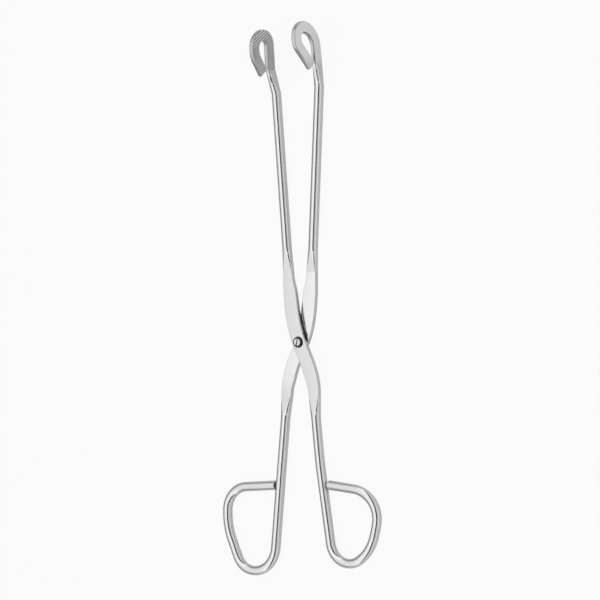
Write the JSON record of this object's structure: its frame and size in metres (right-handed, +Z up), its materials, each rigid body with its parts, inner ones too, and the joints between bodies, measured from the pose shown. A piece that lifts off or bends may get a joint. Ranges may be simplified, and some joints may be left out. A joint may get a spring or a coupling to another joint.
{
  "type": "grasping forceps",
  "caption": "Long wire pattern sterilizer forceps: crossed bent rods on a slotted screw, with finger rings and serrated open loop jaws.",
  "frame": {"origin": "on the pivot screw's axis, in the plane that the forceps lie on", "axes": "+X in the direction in which the jaws open, +Y along the forceps towards the jaws, +Z up along the pivot's axis, the way the jaws hook"},
  "size_m": [0.0945, 0.2698, 0.0243],
  "materials": {
    "satin_steel": "satin stainless steel, glass-bead and belt finished",
    "screw_steel": "turned and polished stainless steel"
  },
  "bodies": {
    "rear": {"rear_half": "satin_steel", "pivot_screw": "screw_steel"},
    "front": {"front_half": "satin_steel"}
  },
  "joints": [
    {"name": "pivot", "type": "hinge", "parent": "rear", "child": "front", "pos_m": [0, 0, 0.00235], "axis": [0, 0, 1], "range_deg": [-9.2, 135]}
  ]
}
